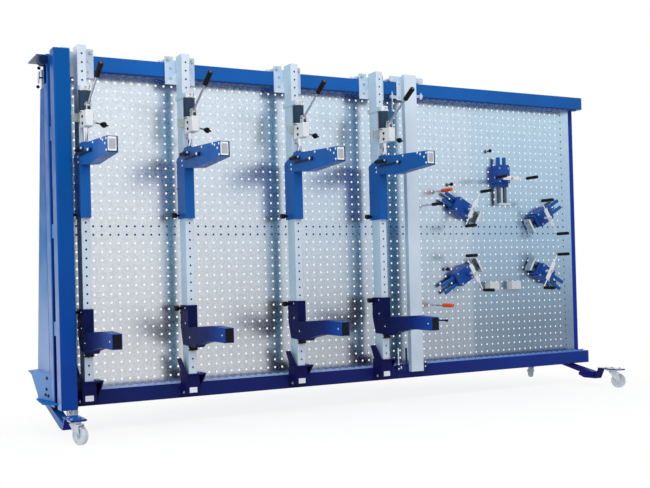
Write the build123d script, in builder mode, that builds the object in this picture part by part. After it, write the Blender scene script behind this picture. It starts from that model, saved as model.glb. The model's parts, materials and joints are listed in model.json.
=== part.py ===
from build123d import *
import os

os.makedirs("parts", exist_ok=True)

# Millimetres. x runs along the rails, y away from the operator, z up from the floor.

# Peg board
BOARD_Y = 120.0
BOARD_T = 3.0
BOARD_LOW = 223.0
BOARD_HIGH = 2088.0
BOARD_EDGES = (-1862.0, -373.0, 877.0, 1982.0)
BOARD_COLUMNS = (30, 25, 21)
BOARD_SEAM = 1.0
HOLE_PITCH = 50.0
HOLE_R = 6.5
HOLE_ROWS = 36
FIRST_HOLE_X = -1848.0
FIRST_HOLE_Z = 283.0

# Rails, posts and back tube
WALL = 4.0
RAIL_X = (-1866.0, 2030.0)
RAIL_DEPTH = 100.0
RAIL_HEIGHT = 90.0
TOP_RAIL_Z = 2068.0
BOTTOM_RAIL_Z = 153.0
COMB_HEIGHT = 12.0
COMB_COUNT = 76
POST_X = (-1958.0, -1866.0)
POST_Z = (153.0, 2158.0)
COLUMN_Y = (-112.0, -13.0)
MIDDLE_POST_Y = (62.0, 160.0)
STAND_FRONT = 162.0
STAND_FOOT = 507.0
STAND_TOP = (235.0, 1985.0)
END_POST_X = (1984.0, 2024.0)
END_POST_Y = (120.0, 220.0)
BACK_TUBE_Y = (125.0, 185.0)
BACK_TUBE_Z = (1108.0, 1208.0)
SIDE_X = -2026.0

# Feet and casters
FOOT_X = (-1935.0, 1932.0)
REAR_X = (-1720.0, 1932.0)
FOOT_W = 50.0
BEAM_HEIGHT = 50.0
PLATE_W = 84.0
PLATE_T = 8.0
PLATE_TOP = 138.0
PLATE_END = 538.0
CASTER_REACH = 445.0
CASTER_TURN = ((27.0, 197.0), (45.0, 150.0))
WHEEL_R = 50.0
TRAIL = 35.0

# Press units
UNIT_X = (-1796.0, -1182.0, -464.0, 160.0)
TUBE_W = 50.0
TUBE_FRONT = -92.0
TUBE_BACK = 8.0
TUBE_Z = (303.0, 2191.0)
TUBE_HOLE_R = 6.0
RAM_Y = -132.0
RAM_R = 14.0
RAM_CLEAR = 0.4
ARM_HALF = 29.0
ARM_FRONT = -658.0
ARM_BACK = 24.0
CHEEK = 2.5
PUMP_PIVOT = (0.0, -200.0, 1835.0)
RELEASE_PIVOT = (36.0, -170.0, 1743.0)
LOCK_PIVOT = (-34.0, -358.0, 1565.0)
PIN_CLEAR = 0.35

# Stop post
STOP_X = 447.0
STOP_W = 98.0
STOP_Y = (-27.0, 13.0)
STOP_Z = (198.0, 2203.0)

# Frame clamps round one centre on the board: angle, crank reach, lift of the centre, rack length
CLAMP_X = 1292.0
CLAMP_Z = 1061.0
CLAMP_PLACES = (
    (0.0, 465.0, 0.0, 348.0),
    (-60.0, 400.0, 40.0, 316.0),
    (60.0, 400.0, -17.0, 348.0),
    (-120.0, 400.0, -10.0, 348.0),
    (120.0, 400.0, -10.0, 348.0),
)
JAW_RADIUS = 277.0
RACK_SPLIT = 230.0
CRANK_HALF = 140.0


def block(x, y, z, mode=Mode.ADD):
    """Box between two limits on each axis."""
    with Locations(((x[0] + x[1]) / 2, (y[0] + y[1]) / 2, (z[0] + z[1]) / 2)):
        Box(x[1] - x[0], y[1] - y[0], z[1] - z[0], mode=mode)


def bar(start, end, radius, mode=Mode.ADD):
    """Round bar from one point to another."""
    along = Vector(*end) - Vector(*start)
    middle = (Vector(*start) + Vector(*end)) / 2
    with Locations(Plane(origin=middle, z_dir=along).location):
        Cylinder(radius, along.length, mode=mode)


def ball(centre, radius):
    """Sphere at a point."""
    with Locations(centre):
        Sphere(radius)


def grip(start, end, radius):
    """Handle grip with rounded ends, as a solid of its own."""
    along = Vector(*end) - Vector(*start)
    with BuildPart() as handle:
        with BuildSketch(Plane(origin=start, z_dir=along)):
            Circle(radius)
        extrude(amount=along.length)
        fillet(handle.edges().filter_by(GeomType.CIRCLE), radius * 0.35)
    return handle.part


def outline(plane, points, amount, both=False):
    """Straight extrusion of a closed outline."""
    with BuildPart() as shape:
        with BuildSketch(plane):
            with BuildLine():
                Polyline(*points, close=True)
            make_face()
        extrude(amount=amount, both=both)
    return shape.part


def upright_tube(x, y, z, corner):
    """Rounded box section standing on end, closed at the top."""
    width = x[1] - x[0]
    depth = y[1] - y[0]
    middle = ((x[0] + x[1]) / 2, (y[0] + y[1]) / 2)
    with BuildPart() as tube:
        with BuildSketch(Plane.XY.offset(z[0])):
            with Locations(middle):
                RectangleRounded(width, depth, corner)
        extrude(amount=z[1] - z[0])
        with BuildSketch(Plane.XY.offset(z[0])):
            with Locations(middle):
                Rectangle(width - 2 * WALL, depth - 2 * WALL)
        extrude(amount=z[1] - z[0] - WALL, mode=Mode.SUBTRACT)
    return tube.part


def save(name, *pieces):
    """Write one named node, its pieces kept as separate solids."""
    solids = [solid for piece in pieces for solid in piece.solids()]
    node = solids[0] if len(solids) == 1 else Compound(solids)
    node.label = name
    export_step(node, f"parts/{name}.step")


# Peg board: three perforated sheets
sheets = []
column_x = FIRST_HOLE_X
for index, columns in enumerate(BOARD_COLUMNS):
    left = BOARD_EDGES[index] + BOARD_SEAM / 2
    right = BOARD_EDGES[index + 1] - BOARD_SEAM / 2
    holes_x = column_x + (columns - 1) * HOLE_PITCH / 2
    holes_z = FIRST_HOLE_Z + (HOLE_ROWS - 1) * HOLE_PITCH / 2
    with BuildPart() as sheet:
        with BuildSketch(Plane.XZ.offset(-BOARD_Y)):
            with Locations(((left + right) / 2, (BOARD_LOW + BOARD_HIGH) / 2)):
                Rectangle(right - left, BOARD_HIGH - BOARD_LOW)
            with Locations((holes_x, holes_z)):
                with GridLocations(HOLE_PITCH, HOLE_PITCH, columns, HOLE_ROWS):
                    Circle(HOLE_R, mode=Mode.SUBTRACT)
        extrude(amount=-BOARD_T)
    sheets.append(sheet.part)
    column_x += columns * HOLE_PITCH
save("peg_boards", *sheets)

# Rails with their notched comb strips
comb_y = (BOARD_Y - 92, BOARD_Y - 86)
for name, low, comb_low, notch_rise in (
    ("top_rail", TOP_RAIL_Z, TOP_RAIL_Z - COMB_HEIGHT, 3),
    ("bottom_rail", BOTTOM_RAIL_Z, BOTTOM_RAIL_Z + RAIL_HEIGHT, COMB_HEIGHT - 3),
):
    rail_middle = (BOARD_Y - RAIL_DEPTH / 2, low + RAIL_HEIGHT / 2)
    with BuildPart() as rail:
        with BuildSketch(Plane.YZ.offset(RAIL_X[0])):
            with Locations(rail_middle):
                RectangleRounded(RAIL_DEPTH, RAIL_HEIGHT, 6)
        extrude(amount=RAIL_X[1] - RAIL_X[0])
        with BuildSketch(Plane.YZ.offset(RAIL_X[0])):
            with Locations(rail_middle):
                Rectangle(RAIL_DEPTH - 2 * WALL, RAIL_HEIGHT - 2 * WALL)
        extrude(amount=RAIL_X[1] - RAIL_X[0] - WALL, mode=Mode.SUBTRACT)
    with BuildPart() as comb:
        block((RAIL_X[0] + 4, END_POST_X[0]), comb_y, (comb_low, comb_low + COMB_HEIGHT))
        with Locations((50, BOARD_Y - 89, comb_low + notch_rise)):
            with GridLocations(HOLE_PITCH, 1, COMB_COUNT, 1):
                Box(26, 10, 6, mode=Mode.SUBTRACT)
    save(name, rail.part, comb.part)

# Stop column at the left end, spaced off the posts behind it
column = upright_tube(POST_X, COLUMN_Y, POST_Z, 10)
spacers = []
for spacer_z in (600, 1150, 1700):
    with BuildPart() as spacer:
        block((-1950, -1895), (COLUMN_Y[1], MIDDLE_POST_Y[0]), (spacer_z - 40, spacer_z + 40))
    spacers.append(spacer.part)
save("left_column", column, *spacers)

# Post behind the column and the tapered stand behind that, with a roof plate and a flared side bracket
middle_post = upright_tube(POST_X, MIDDLE_POST_Y, POST_Z, 8)
stand = outline(
    Plane.YZ.offset(POST_X[0]),
    [(STAND_FRONT, POST_Z[0]), (STAND_FOOT, POST_Z[0]), STAND_TOP, (STAND_FRONT, STAND_TOP[1])],
    POST_X[1] - POST_X[0],
)
stand_hollow = outline(
    Plane.YZ.offset(POST_X[0] + WALL),
    [
        (STAND_FRONT + WALL, POST_Z[0] - WALL),
        (STAND_FOOT - WALL, POST_Z[0] - WALL),
        (STAND_TOP[0] - WALL, STAND_TOP[1] - WALL),
        (STAND_FRONT + WALL, STAND_TOP[1] - WALL),
    ],
    POST_X[1] - POST_X[0] - 2 * WALL,
)
FLARE = Vector(-66, 294, 0).normalized()
flare_plane = Plane(origin=(POST_X[0] + 1, 115, 0), x_dir=FLARE, z_dir=FLARE.cross(Vector(0, 0, 1)))
bracket_side = outline(flare_plane, [(0, 335), (314, 343), (269, 319), (221, 250), (178, 187), (0, 187)], 8)
bracket_top = outline(Plane.XY.offset(335), [(-2026, 424), (-1956, 115), (-1956, 478)], 8)
bracket_floor = outline(
    Plane.XY.offset(179),
    [(-2008, 300), (-2030, 30), (-1960, -45), (-1960, 60), (-1956, 62), (-1956, 300)],
    8,
)
with BuildPart() as end_posts:
    add(stand)
    add(stand_hollow, mode=Mode.SUBTRACT)
    add(middle_post)
    block((POST_X[0] - 1, POST_X[0] + WALL + 1), (72, 136), (1995, 2118), mode=Mode.SUBTRACT)
    block(POST_X, (150, 190), (POST_Z[0], POST_Z[0] + 8))
    block(POST_X, (450, 500), (POST_Z[0], POST_Z[0] + 8))
    block(POST_X, (150, 190), (STAND_TOP[1] - 8, STAND_TOP[1]))
    block((SIDE_X, POST_X[0] + 2), (-8, 222), (2128, 2136))
    bar((-1992, -28, 2102), (-1992, 34, 2102), 27)
    bar((-1992, -36, 2102), (-1992, -27, 2102), 9)
    add(bracket_side)
    add(bracket_top)
    add(bracket_floor)
save("left_end_posts", end_posts.part)

# Right end post and the tube behind the board
save("right_end_post", upright_tube(END_POST_X, END_POST_Y, POST_Z, 5))
with BuildPart() as back_tube:
    with BuildSketch(Plane.YZ.offset(POST_X[1])):
        with Locations((sum(BACK_TUBE_Y) / 2, sum(BACK_TUBE_Z) / 2)):
            RectangleRounded(60, 100, 6)
            Rectangle(52, 92, mode=Mode.SUBTRACT)
    extrude(amount=END_POST_X[0] - POST_X[1])
save("back_tube", back_tube.part)

# Feet: a sloping leg, a raised strap and a caster plate in front, and a beam over a caster plate behind
LEFT_LEG = [(-170, 143), (196, 54), (258, 54), (258, 88), (-47, 153), (-170, 153)]
LEFT_STRAP = [(240, 54), (272, 54), (329, 130), (345, 130), (345, 138), (321, 138), (264, 62), (240, 62)]
RIGHT_LEG = [(-165, 153), (200, 78), (268, 64), (268, 100), (-35, 153)]
RIGHT_STRAP = [
    (125, 70),
    (180, 52),
    (296, 54),
    (338, 130),
    (347, 130),
    (347, 138),
    (331, 138),
    (290, 64),
    (200, 80),
    (125, 90),
]
for name, foot_x, rear_x, leg, strap in (
    ("left_foot", FOOT_X[0], REAR_X[0], LEFT_LEG, LEFT_STRAP),
    ("right_foot", FOOT_X[1], REAR_X[1], RIGHT_LEG, RIGHT_STRAP),
):
    foot_plane = Plane.YZ.offset(foot_x)
    plate_plane = Plane.XY.offset(PLATE_TOP - PLATE_T)
    half = PLATE_W / 2
    welded = []
    pads = []
    for side, plate_x in ((-1, foot_x), (1, rear_x)):
        near = BOARD_Y + side * 335
        slope = BOARD_Y + side * (PLATE_END - 18)
        far = BOARD_Y + side * PLATE_END
        plate_points = [
            (plate_x - half, near),
            (plate_x + half, near),
            (plate_x + half, slope),
            (plate_x + half - 18, far),
            (plate_x - half + 18, far),
            (plate_x - half, slope),
        ]
        welded.append(outline(plate_plane, plate_points, PLATE_T))
        if side == 1:
            with BuildPart() as beam:
                block((rear_x - 25, rear_x + 25), (BOARD_Y, slope), (POST_Z[0], POST_Z[0] + BEAM_HEIGHT))
                block((rear_x - 20, rear_x + 20), (near, slope), (PLATE_TOP, POST_Z[0]))
            welded.append(beam.part)
        else:
            leg_points = [(BOARD_Y - reach, z) for reach, z in leg]
            strap_points = [(BOARD_Y - reach, z) for reach, z in strap]
            welded.append(outline(foot_plane, leg_points, FOOT_W / 2, both=True))
            welded.append(outline(foot_plane, strap_points, 30, both=True))
        with BuildPart() as pad:
            with BuildSketch(Plane.XY.offset(PLATE_TOP - 2 * PLATE_T)):
                with Locations((plate_x, BOARD_Y + side * CASTER_REACH)):
                    RectangleRounded(76, 76, 8)
            extrude(amount=PLATE_T)
        pads.append(pad.part)
    with BuildPart() as foot:
        for piece in welded:
            add(piece)
    save(name, foot.part, *pads)

# Bolt heads on the caster plates, the roof plate and the side bracket, and a catch on the stand
with BuildPart() as bolts:
    for side, places in ((-1, FOOT_X), (1, REAR_X)):
        for plate_x in places:
            with Locations((plate_x, BOARD_Y + side * CASTER_REACH, PLATE_TOP + 3)):
                with GridLocations(58, 76, 2, 2):
                    Cylinder(7, 6)
    for bolt_y in (30, 110, 190):
        bar((-1995, bolt_y, 2136), (-1995, bolt_y, 2142), 9)
    for along, bolt_z in ((68, 249), (81, 216), (46, 212), (61, 312)):
        seat = flare_plane.origin + FLARE * along + Vector(0, 0, bolt_z)
        bar(tuple(seat), tuple(seat - flare_plane.z_dir * 5), 9)
    bar((-1949, 222, STAND_TOP[1]), (-1949, 222, 2098), 9)
save("frame_bolts", bolts.part)

# Swivel casters: fork with bearing head, and wheel on its axle
fork_side = [(26, 109), (-42, 109), (-50, 52), (-44, 38), (-26, 38), (-18, 52)]
fork_left = outline(Plane.YZ.offset(-22), fork_side, 4)
fork_right = outline(Plane.YZ.offset(18), fork_side, 4)
with BuildPart() as fork:
    add(fork_left)
    add(fork_right)
    block((-22, 22), (-42, 26), (104, 109))
    bar((0, 0, 108), (0, 0, 121), 27)
    bar((-25, -TRAIL, WHEEL_R), (25, -TRAIL, WHEEL_R), 6)
    bar((-28, -TRAIL, WHEEL_R), (-22, -TRAIL, WHEEL_R), 9)
    bar((22, -TRAIL, WHEEL_R), (28, -TRAIL, WHEEL_R), 9)
wheel_section = [
    (-16, 6.4),
    (16, 6.4),
    (16, 15),
    (11, 17),
    (11, 37),
    (16, 39),
    (16, 45),
    (11, WHEEL_R),
    (-11, WHEEL_R),
    (-16, 45),
    (-16, 39),
    (-11, 37),
    (-11, 17),
    (-16, 15),
]
with BuildPart() as wheel:
    with BuildSketch(Plane.XY):
        with BuildLine():
            Polyline(*wheel_section, close=True)
        make_face()
    revolve(axis=Axis.X)
wheel_at_axle = wheel.part.moved(Location((0, -TRAIL, WHEEL_R)))
for caster_x, turns, end in zip(zip(FOOT_X, REAR_X), CASTER_TURN, ("left", "right")):
    for side, x, turn, place in zip((-1, 1), caster_x, turns, ("front", "rear")):
        spot = Location((x, BOARD_Y + side * CASTER_REACH, 0), (0, 0, turn))
        save(f"caster_fork_{place}_{end}", fork.part.moved(spot))
        save(f"caster_wheel_{place}_{end}", wheel_at_axle.moved(spot))

# Lock lever on the outer side of the left posts
with BuildPart() as lock_rod:
    bar((POST_X[0] - 1.5, 148, 2037), (-1985, 148, 2037), 6)
    bar((-1985, 137.2, 2070.2), (-1985, 158.8, 2003.8), 7)
with BuildPart() as lock_balls:
    ball((-1985, 131.7, 2087.3), 10)
    ball((-1985, 164.3, 1986.7), 10)
save("left_lock_lever", lock_rod.part, lock_balls.part)

# Stop post with its carriage plates, rollers and plunger pins
stop_back = (STOP_Y[1], STOP_Y[1] + 4)
stop_plates = (
    (-86, 40, 2035, 2165),
    (-140, 129, 2160, 2195),
    (-140, -80, 2044, 2064),
    (36, 112, 2060, 2080),
    (-146, 92, 205, 250),
    (-71, -57, 240, 357),
)
stop_screws = ((-130, 2054, 1956, 2088), (102, 2070, 2048, 2092), (-135, 237, 216, 361), (79, 240, 222, 262))
with BuildPart() as stop_carriage:
    for left, right, low, high in stop_plates:
        block((STOP_X + left, STOP_X + right), stop_back, (low, high))
    block((STOP_X - 140, STOP_X + 120), (BOARD_Y + 6, BOARD_Y + 13), (2112, 2192))
    for roller_x in (STOP_X - 125, STOP_X + 101):
        bar((roller_x, STOP_Y[1], 2174), (roller_x, BOARD_Y + 8, 2174), 13)
    for screw, nut_z, low, high in stop_screws:
        nut_x = STOP_X + screw
        block((nut_x - 12, nut_x + 12), (STOP_Y[1] - 16, STOP_Y[1]), (nut_z - 10, nut_z + 10))
stop_tube = upright_tube((STOP_X - STOP_W / 2, STOP_X + STOP_W / 2), STOP_Y, STOP_Z, 4)
stop_pins = []
for screw, nut_z, low, high in stop_screws:
    for bottom, top in ((low, nut_z - 11), (nut_z + 11, high)):
        with BuildPart() as stop_pin:
            bar((STOP_X + screw, STOP_Y[1] - 9, bottom), (STOP_X + screw, STOP_Y[1] - 9, top), 5)
        stop_pins.append(stop_pin.part)
save("stop_post", stop_tube, stop_carriage.part, *stop_pins)

# Frame clamps: housing, sliding jaw on two rack bars, and a two-grip crank
housings = []
for number, (angle, reach, lift, rack_length) in enumerate(CLAMP_PLACES, start=1):
    spot = Location((CLAMP_X, 0, CLAMP_Z + lift), (0, angle, 0))
    with BuildPart() as housing:
        block((-53, 53), (BOARD_Y - 70, BOARD_Y), (reach - 28, reach + 104))
        fillet(housing.edges().filter_by(Axis.Y).group_by(Axis.Z)[-1], 16)
        block((-46, 46), (BOARD_Y - 58, BOARD_Y), (reach - 55, reach - 28))
        bar((0, BOARD_Y - 69, reach), (0, BOARD_Y - 100, reach), 20)
        block((-40, 40), (BOARD_Y - 49, BOARD_Y - 27), (reach - 60, reach + 110), mode=Mode.SUBTRACT)
        bar((0, BOARD_Y - 40, reach), (0, BOARD_Y - 110, reach), 9 + PIN_CLEAR, mode=Mode.SUBTRACT)
    housings.append(housing.part.moved(spot))

    split = JAW_RADIUS + RACK_SPLIT
    rack_y = (BOARD_Y - 46, BOARD_Y - 30)
    with BuildPart() as jaw:
        block((-55, 55), (BOARD_Y - 74, BOARD_Y - 14), (JAW_RADIUS, JAW_RADIUS + 14))
        for rack_x in (-27, 27):
            block((rack_x - 11, rack_x + 11), rack_y, (JAW_RADIUS + 14, split))
    with BuildPart() as tails:
        for rack_x in (-27, 27):
            block((rack_x - 11, rack_x + 11), rack_y, (split, JAW_RADIUS + rack_length))
    save(f"clamp_jaw_{number}", jaw.part.moved(spot), tails.part.moved(spot))

    with BuildPart() as crank:
        bar((0, BOARD_Y - 32, reach), (0, BOARD_Y - 144, reach), 9)
        block((-70, 70), (BOARD_Y - 150, BOARD_Y - 142), (reach - 14, reach + 14))
        bar((0, BOARD_Y - 149, reach), (0, BOARD_Y - 162, reach), 12)
        for side in (-1, 1):
            bar((side * 60, BOARD_Y - 146, reach), (side * CRANK_HALF, BOARD_Y - 146, reach), 4)
            bar((side * CRANK_HALF, BOARD_Y - 140, reach), (side * CRANK_HALF, BOARD_Y - 152, reach), 6)
    crank_grips = []
    for side in (-1, 1):
        foot_point = (side * CRANK_HALF, BOARD_Y - 152, reach)
        crank_grips.append(grip(foot_point, (side * CRANK_HALF, BOARD_Y - 267, reach), 11))
    save(f"clamp_crank_{number}", crank.part.moved(spot), *[piece.moved(spot) for piece in crank_grips])
save("clamp_housings", *housings)

# Pins plugged into the board, and two rests below the clamped frame
pegs = []
for peg_x, peg_z, shaft, grip_r in (
    (752, 1433, 50, 13),
    (702, 633, 100, 13),
    (652, 1333, 75, 12),
):
    with BuildPart() as peg:
        bar((peg_x, BOARD_Y + 6, peg_z), (peg_x, BOARD_Y - shaft, peg_z), 5.5)
    pegs.append(peg.part)
    pegs.append(grip((peg_x, BOARD_Y - shaft, peg_z), (peg_x, BOARD_Y - shaft - 115, peg_z), grip_r))
for peg_x, peg_z, out, ball_r in (
    (1202, 1733, 28, 13),
    (852, 1483, 28, 13),
    (802, 883, 28, 13),
    (1752, 1383, 60, 13),
    (652, 533, 208, 10),
):
    with BuildPart() as ball_peg:
        bar((peg_x, BOARD_Y + 6, peg_z), (peg_x, BOARD_Y - out, peg_z), 5.5)
        ball((peg_x, BOARD_Y - out, peg_z), ball_r)
    pegs.append(ball_peg.part)
for rest_x in (1187, 1387):
    with BuildPart() as rest:
        block((rest_x - 42, rest_x + 42), (BOARD_Y - 60, BOARD_Y), (726, 784))
    pegs.append(rest.part)
save("board_pegs", *pegs)

# Press unit, drawn about x = 0: column with its carriage and bracket
with BuildPart() as press_tube:
    with BuildSketch(Plane.XY.offset(TUBE_Z[0])):
        with Locations((0, (TUBE_FRONT + TUBE_BACK) / 2)):
            RectangleRounded(TUBE_W, TUBE_BACK - TUBE_FRONT, 4)
    extrude(amount=TUBE_Z[1] - TUBE_Z[0])
    with BuildSketch(Plane.XY.offset(TUBE_Z[0])):
        with Locations((0, (TUBE_FRONT + TUBE_BACK) / 2)):
            Rectangle(TUBE_W - 2 * WALL, TUBE_BACK - TUBE_FRONT - 2 * WALL)
    extrude(amount=TUBE_Z[1] - TUBE_Z[0] - WALL, mode=Mode.SUBTRACT)
    with BuildSketch(Plane.XZ.offset(-TUBE_FRONT)):
        with Locations((0, 1241)):
            with GridLocations(1, HOLE_PITCH, 1, 37):
                Circle(TUBE_HOLE_R)
    extrude(amount=TUBE_FRONT - TUBE_BACK, mode=Mode.SUBTRACT)
with BuildPart() as carriage:
    block((-93, 93), (TUBE_BACK, TUBE_BACK + 8), (2025, 2192))
    block((-40, 40), (TUBE_BACK, TUBE_BACK + 8), (2170, 2200), mode=Mode.SUBTRACT)
    block((-93, 93), (BOARD_Y + 6, BOARD_Y + 14), (2163, 2192))
    block((-60, 60), (BOARD_Y + 6, BOARD_Y + 14), (2112, 2164))
    for roller_x in (-76, 76):
        bar((roller_x, TUBE_BACK, 2174), (roller_x, BOARD_Y + 8, 2174), 13)
        bar((roller_x, TUBE_BACK - 6, 2174), (roller_x, TUBE_BACK, 2174), 8)
bracket_gusset = outline(Plane.YZ.offset(71), [(-92, 293), (16, 293), (16, 195), (-50, 250)], 8)
fin_plane = Plane(origin=(-40, 0, 295), x_dir=(0, 1, 0), z_dir=(100, 0, 27))
bracket_fin = outline(fin_plane, [(-92, 0), (-4, 0), (2, 98), (-56, 104)], 8)
with BuildPart() as bracket:
    block((-40, 79), (TUBE_FRONT - 7, TUBE_BACK + 8), (293, 303))
    block((-40, 38), (TUBE_FRONT, TUBE_FRONT + 8), (180, 293))
    block((-40, -32), (TUBE_FRONT, TUBE_BACK + 8), (180, 293))
    block((-40, 79), (TUBE_BACK, TUBE_BACK + 8), (160, 293))
    add(bracket_gusset)
    add(bracket_fin)
with BuildPart() as bare_plate:
    block((-25, 22), (TUBE_FRONT - 2, TUBE_FRONT), (192, 223))

# Pump head: collar, cylinder, pump block and ear plate
with BuildPart() as collar:
    block((-29, 29), (RAM_Y, 20), (1926, 1953))
    bar((0, RAM_Y, 1926), (0, RAM_Y, 1953), 30)
    block((-26.5, 26.5), (TUBE_FRONT - 2, TUBE_BACK + 2), (1925, 1954), mode=Mode.SUBTRACT)
with BuildPart() as cylinder:
    bar((0, RAM_Y, 1803), (0, RAM_Y, 1926), 34)
    bar((0, RAM_Y, 1800), (0, RAM_Y, 1918), RAM_R + RAM_CLEAR, mode=Mode.SUBTRACT)
pump_ear = outline(Plane.YZ.offset(9), [(-222, 1800), (-178, 1800), (-188, 1849), (-212, 1849)], 6)
release_ear = outline(Plane.XZ.offset(177), [(20, 1728), (44, 1732), (44, 1754), (20, 1758)], 5)
with BuildPart() as pump_block:
    with BuildSketch(Plane.XY.offset(1715)):
        with Locations((0, -168.5)):
            RectangleRounded(44, 133, 6)
    extrude(amount=88)
    chamfer(pump_block.faces().sort_by(Axis.Z)[-1].edges(), 2)
    bar((0, RAM_Y, 1710), (0, RAM_Y, 1810), RAM_R + RAM_CLEAR, mode=Mode.SUBTRACT)
    add(pump_ear)
    add(pump_ear.moved(Location((-24, 0, 0))))
    add(release_ear)
    add(release_ear.moved(Location((0, 19, 0))))
    bar((-18, PUMP_PIVOT[1], PUMP_PIVOT[2]), (18, PUMP_PIVOT[1], PUMP_PIVOT[2]), 5)
    bar((RELEASE_PIVOT[0], -184, RELEASE_PIVOT[2]), (RELEASE_PIVOT[0], -156, RELEASE_PIVOT[2]), 4)
with BuildPart() as ear_plate:
    block((-66, -22), (-112, -104), (1750, 1797))
with BuildPart() as block_bolts:
    for bolt_z in (1773, 1736):
        bar((-22, -165, bolt_z), (-27, -165, bolt_z), 8)

# Upper arm: folded box arm with a leg beside the column, ram, end plate and knob
ARM_SECTION = [
    (ARM_BACK, 1218),
    (ARM_BACK, 1578),
    (-104, 1620),
    (-104, 1632),
    (-160, 1632),
    (-160, 1623),
    (ARM_FRONT, 1599),
    (ARM_FRONT, 1514),
    (-298, 1494),
    (-108, 1513),
    (-108, 1218),
]
ARM_HOLLOW = [(-112, 1616), (ARM_FRONT - 5, 1596), (ARM_FRONT - 5, 1517), (-298, 1497), (-112, 1516)]
arm_blank = outline(Plane.YZ, ARM_SECTION, ARM_HALF, both=True)
arm_hollow = outline(Plane.YZ, ARM_HOLLOW, ARM_HALF - 3, both=True)
with BuildPart() as upper_arm:
    add(arm_blank)
    add(arm_hollow, mode=Mode.SUBTRACT)
    block((CHEEK - ARM_HALF, ARM_HALF - CHEEK), (TUBE_FRONT - 2, 40), (1200, 1700), mode=Mode.SUBTRACT)
    for bolt_z in (1262, 1400, 1560):
        bar((-33, 16, bolt_z), (33, 16, bolt_z), 5)
    bar((-ARM_HALF, LOCK_PIVOT[1], LOCK_PIVOT[2]), (-44, LOCK_PIVOT[1], LOCK_PIVOT[2]), 5)
    bar((-43, LOCK_PIVOT[1], LOCK_PIVOT[2]), (-48, LOCK_PIVOT[1], LOCK_PIVOT[2]), 9)
with BuildPart() as ram:
    bar((0, RAM_Y, 1632), (0, RAM_Y, 1790), RAM_R)
    chamfer(ram.edges().sort_by(Axis.Z)[-1], 2)
with BuildPart() as end_plate:
    block((-25.5, 25.5), (ARM_FRONT, ARM_FRONT + 6), (1517.5, 1595.5))
with BuildPart() as upper_knob:
    bar((-ARM_HALF, 5, 1241), (-44, 5, 1241), 7)
    bar((-44, 5, 1241), (-72, 5, 1241), 15)

# Lower arm: the same build, tapered towards its plugged front end
LOW_ARM_SECTION = [
    (ARM_BACK, 707),
    (-108, 707),
    (-108, 578),
    (-475, 598),
    (ARM_FRONT, 591),
    (ARM_FRONT, 511),
    (-436, 513),
    (-232, 480),
    (-205, 463),
    (-8, 472),
    (ARM_BACK, 575),
]
LOW_ARM_HOLLOW = [
    (-112, 575),
    (-475, 595),
    (ARM_FRONT - 5, 588),
    (ARM_FRONT - 5, 514),
    (-436, 516),
    (-232, 483),
    (-205, 466),
    (-112, 470),
]
low_arm_blank = outline(Plane.YZ, LOW_ARM_SECTION, ARM_HALF, both=True)
low_arm_hollow = outline(Plane.YZ, LOW_ARM_HOLLOW, ARM_HALF - 6, both=True)
taper_cut = outline(Plane.XY.offset(400), [(ARM_HALF, -475), (26, -700), (40, -700), (40, -475)], 300)
with BuildPart() as lower_arm:
    add(low_arm_blank)
    add(low_arm_hollow, mode=Mode.SUBTRACT)
    add(taper_cut, mode=Mode.SUBTRACT)
    add(taper_cut.mirror(Plane.YZ), mode=Mode.SUBTRACT)
    block((CHEEK - ARM_HALF, ARM_HALF - CHEEK), (TUBE_FRONT - 2, 40), (450, 720), mode=Mode.SUBTRACT)
    block((-26, 26), (-108, TUBE_FRONT - 2.5), (440, 480))
    for bolt_z in (600, 660):
        bar((-33, 16, bolt_z), (33, 16, bolt_z), 5)
with BuildPart() as end_plug:
    block((-22.5, 22.5), (ARM_FRONT, ARM_FRONT + 8), (514.5, 587.5))
with BuildPart() as lower_knob:
    bar((-ARM_HALF, 5, 688), (-44, 5, 688), 7)
    bar((-44, 5, 688), (-72, 5, 688), 15)

# Pump lever: eye on the hinge pin, bare rod and long grip
lever_x, lever_y, lever_z = PUMP_PIVOT
lever_way = Vector(0, -0.852, 0.524)
grip_foot = Vector(*PUMP_PIVOT) + lever_way * 228
grip_tip = Vector(*PUMP_PIVOT) + lever_way * 332
with BuildPart() as lever:
    bar((-7.5, lever_y, lever_z), (7.5, lever_y, lever_z), 12)
    bar(tuple(Vector(*PUMP_PIVOT) + lever_way * 7), tuple(grip_foot), 6.5)
    bar((-9, lever_y, lever_z), (9, lever_y, lever_z), 5 + PIN_CLEAR, mode=Mode.SUBTRACT)
lever_grip = grip(tuple(grip_foot), tuple(grip_tip), 15)

# Release lever: eye, thin rod and ball, at the right side of the pump block
release_x, release_y, release_z = RELEASE_PIVOT
ball_centre = Vector(95, -170, 1732)
release_way = (ball_centre - Vector(*RELEASE_PIVOT)).normalized()
with BuildPart() as release:
    bar((release_x, release_y - 5.5, release_z), (release_x, release_y + 5.5, release_z), 9)
    bar(tuple(Vector(*RELEASE_PIVOT) + release_way * 6), tuple(ball_centre - release_way * 17), 4.5)
    bar(
        (release_x, release_y - 7, release_z),
        (release_x, release_y + 7, release_z),
        4 + PIN_CLEAR,
        mode=Mode.SUBTRACT,
    )
with BuildPart() as release_ball:
    ball(tuple(ball_centre), 17)

# Arm lock lever: flat bar on a stud, with a grip above its rear end
lock_x, lock_y, lock_z = LOCK_PIVOT
with BuildPart() as lock:
    bar((-31, lock_y, lock_z), (-40, lock_y, lock_z), 12)
    block((-37, -31), (lock_y, -125), (lock_z - 6, lock_z + 6))
    block((-37, -31), (-199, -187), (lock_z - 6, 1602))
    block((-50, -31), (-199, -187), (1586, 1602))
    bar((-30, lock_y, lock_z), (-41, lock_y, lock_z), 5 + PIN_CLEAR, mode=Mode.SUBTRACT)
lock_grip = grip((-43, -187, 1594), (-43, -86, 1594), 10)

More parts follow.
